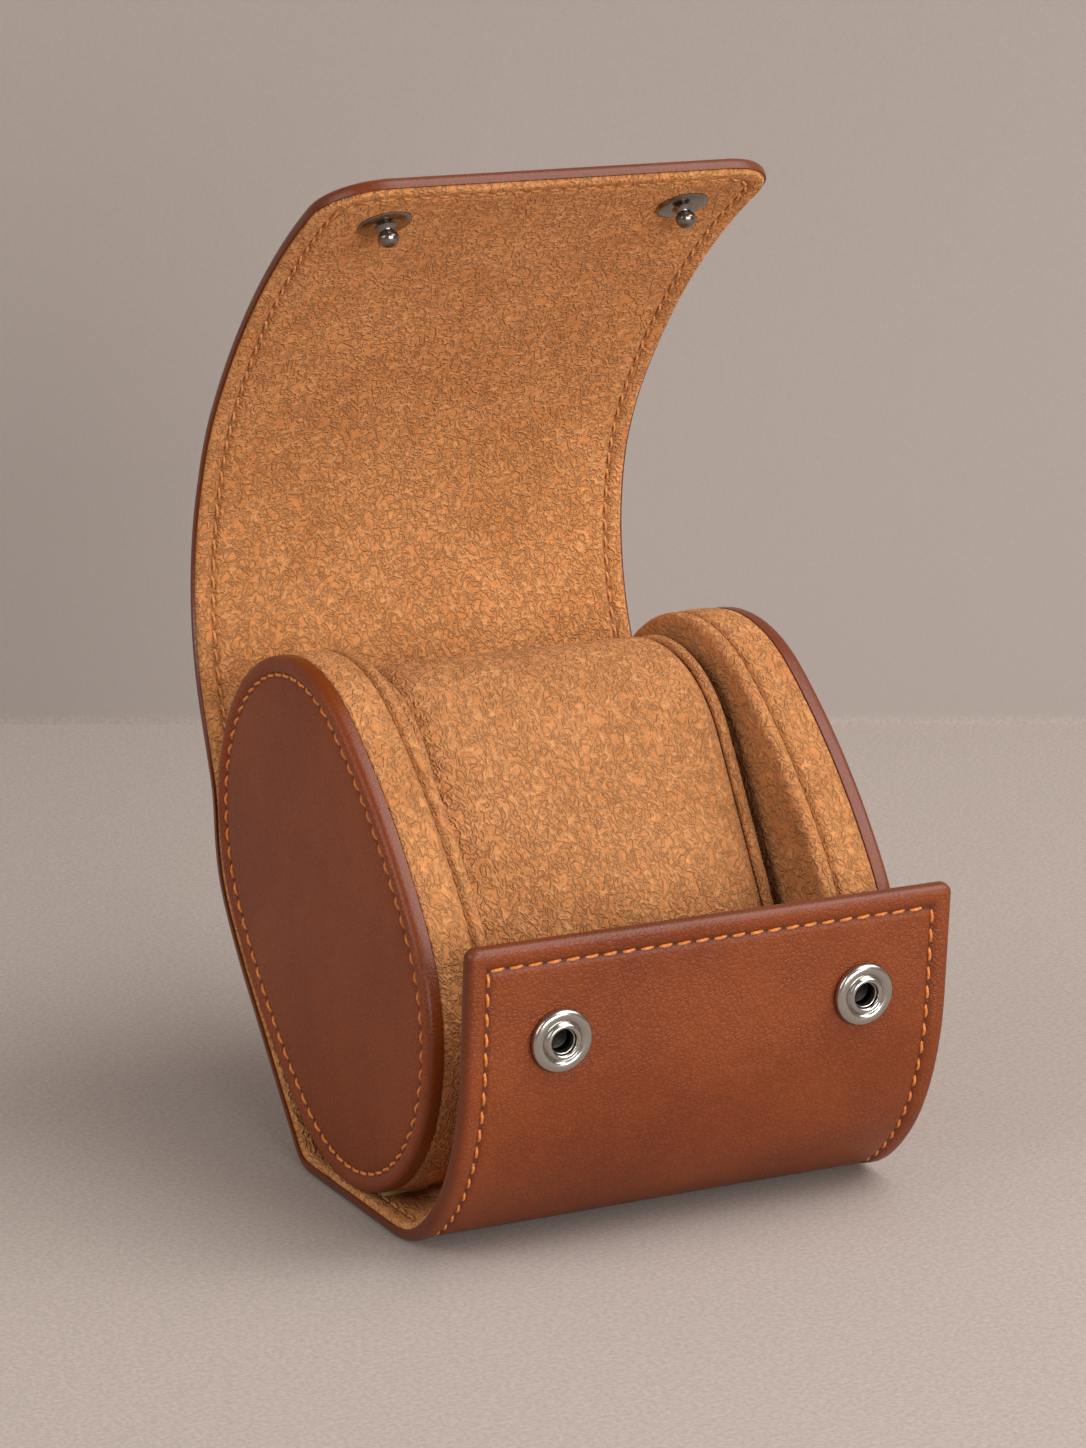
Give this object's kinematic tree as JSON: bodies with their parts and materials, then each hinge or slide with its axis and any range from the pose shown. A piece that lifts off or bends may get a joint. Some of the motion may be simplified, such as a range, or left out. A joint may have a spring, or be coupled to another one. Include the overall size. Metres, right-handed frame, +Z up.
{
  "type": "watch travel case",
  "caption": "Soft leather travel case for a wrist watch: oval end cushions on a strip that bends up as a front flap and a long snap-shut lid, with a lift-out pillow.",
  "frame": {"origin": "middle of the bounding box at floor level, with the lid open", "axes": "+Z up, the front flap towards -Y, X across the case"},
  "size_m": [0.1, 0.1323, 0.1927],
  "materials": {
    "strip_leather": "satin",
    "face_leather": "satin",
    "strip_board": "matte",
    "cushion_board": "matte",
    "lining_suede": "matte",
    "cushion_suede": "matte",
    "cushion_foam": "matte",
    "pillow_foam": "matte",
    "pillow_suede": "matte",
    "glue": "matte",
    "nickel": "polished",
    "dark_nickel": "polished",
    "spring_steel": "satin"
  },
  "bodies": {
    "base": {"base_leather": "strip_leather", "base_board": "strip_board", "base_lining": "lining_suede", "left_face": "face_leather", "left_board": "cushion_board", "left_foam": "cushion_foam", "left_band": "cushion_suede", "left_cheek": "cushion_suede", "left_glue": "glue", "right_face": "face_leather", "right_board": "cushion_board", "right_foam": "cushion_foam", "right_band": "cushion_suede", "right_cheek": "cushion_suede", "right_glue": "glue"},
    "pillow": {"pillow_core": "pillow_foam", "pillow_cover": "pillow_suede", "pillow_left": "pillow_suede", "pillow_right": "pillow_suede"},
    "flap_1": {"flap_1_leather": "strip_leather", "flap_1_board": "strip_board", "flap_1_lining": "lining_suede"},
    "flap_2": {"flap_2_leather": "strip_leather", "flap_2_board": "strip_board", "flap_2_lining": "lining_suede"},
    "flap_3": {"flap_3_leather": "strip_leather", "flap_3_board": "strip_board", "flap_3_lining": "lining_suede", "left_socket": "nickel", "left_spring": "spring_steel", "left_post": "nickel", "right_socket": "nickel", "right_spring": "spring_steel", "right_post": "nickel"},
    "lid_1": {"lid_1_leather": "strip_leather", "lid_1_board": "strip_board", "lid_1_lining": "lining_suede"},
    "lid_2": {"lid_2_leather": "strip_leather", "lid_2_board": "strip_board", "lid_2_lining": "lining_suede"},
    "lid_3": {"lid_3_leather": "strip_leather", "lid_3_board": "strip_board", "lid_3_lining": "lining_suede"},
    "lid_4": {"lid_4_leather": "strip_leather", "lid_4_board": "strip_board", "lid_4_lining": "lining_suede"},
    "lid_5": {"lid_5_leather": "strip_leather", "lid_5_board": "strip_board", "lid_5_lining": "lining_suede", "left_stud": "dark_nickel", "left_rivet": "nickel", "right_stud": "dark_nickel", "right_rivet": "nickel"}
  },
  "joints": [
    {"name": "lid_fold_1", "type": "hinge", "parent": "base", "child": "lid_1", "pos_m": [0, 0.05137, 0.06478], "axis": [1, 0, 0], "range_deg": [0, 31.22]},
    {"name": "lid_fold_2", "type": "hinge", "parent": "lid_1", "child": "lid_2", "pos_m": [0, 0.05614, 0.07502], "axis": [1, 0, 0], "range_deg": [0, 25]},
    {"name": "lid_fold_3", "type": "hinge", "parent": "lid_2", "child": "lid_3", "pos_m": [0, 0.06216, 0.08983], "axis": [1, 0, 0], "range_deg": [0, 6.1]},
    {"name": "lid_fold_4", "type": "hinge", "parent": "lid_3", "child": "lid_4", "pos_m": [0, 0.06436, 0.1106], "axis": [1, 0, 0], "range_deg": [0, 21.3]},
    {"name": "lid_fold_5", "type": "hinge", "parent": "lid_4", "child": "lid_5", "pos_m": [0, 0.02697, 0.17097], "axis": [1, 0, 0], "range_deg": [0, 21.7]},
    {"name": "flap_fold_1", "type": "hinge", "parent": "base", "child": "flap_1", "pos_m": [0, -0.02042, 0.00165], "axis": [1, 0, 0], "range_deg": [-26.9, 0]},
    {"name": "flap_fold_2", "type": "hinge", "parent": "flap_1", "child": "flap_2", "pos_m": [0, -0.04286, 0.00479], "axis": [1, 0, 0], "range_deg": [0, 13.5]},
    {"name": "flap_fold_3", "type": "hinge", "parent": "flap_2", "child": "flap_3", "pos_m": [0, -0.06036, 0.03067], "axis": [1, 0, 0], "range_deg": [-18, 0]},
    {"name": "pillow_lift", "type": "slide", "parent": "base", "child": "pillow", "axis": [0, 0.515, 0.8572], "range_m": [0, 0.0025]}
  ],
  "couplings": [
    {"joint": "lid_fold_2", "follows": "lid_fold_1", "ratio": 0.71365},
    {"joint": "lid_fold_3", "follows": "lid_fold_1", "ratio": 0.1734},
    {"joint": "lid_fold_4", "follows": "lid_fold_1", "ratio": 0.60813},
    {"joint": "lid_fold_5", "follows": "lid_fold_1", "ratio": 0.62046},
    {"joint": "flap_fold_1", "follows": "lid_fold_1", "ratio": -0.76881},
    {"joint": "flap_fold_2", "follows": "lid_fold_1", "ratio": 0.38441},
    {"joint": "flap_fold_3", "follows": "lid_fold_1", "ratio": -0.51254}
  ]
}
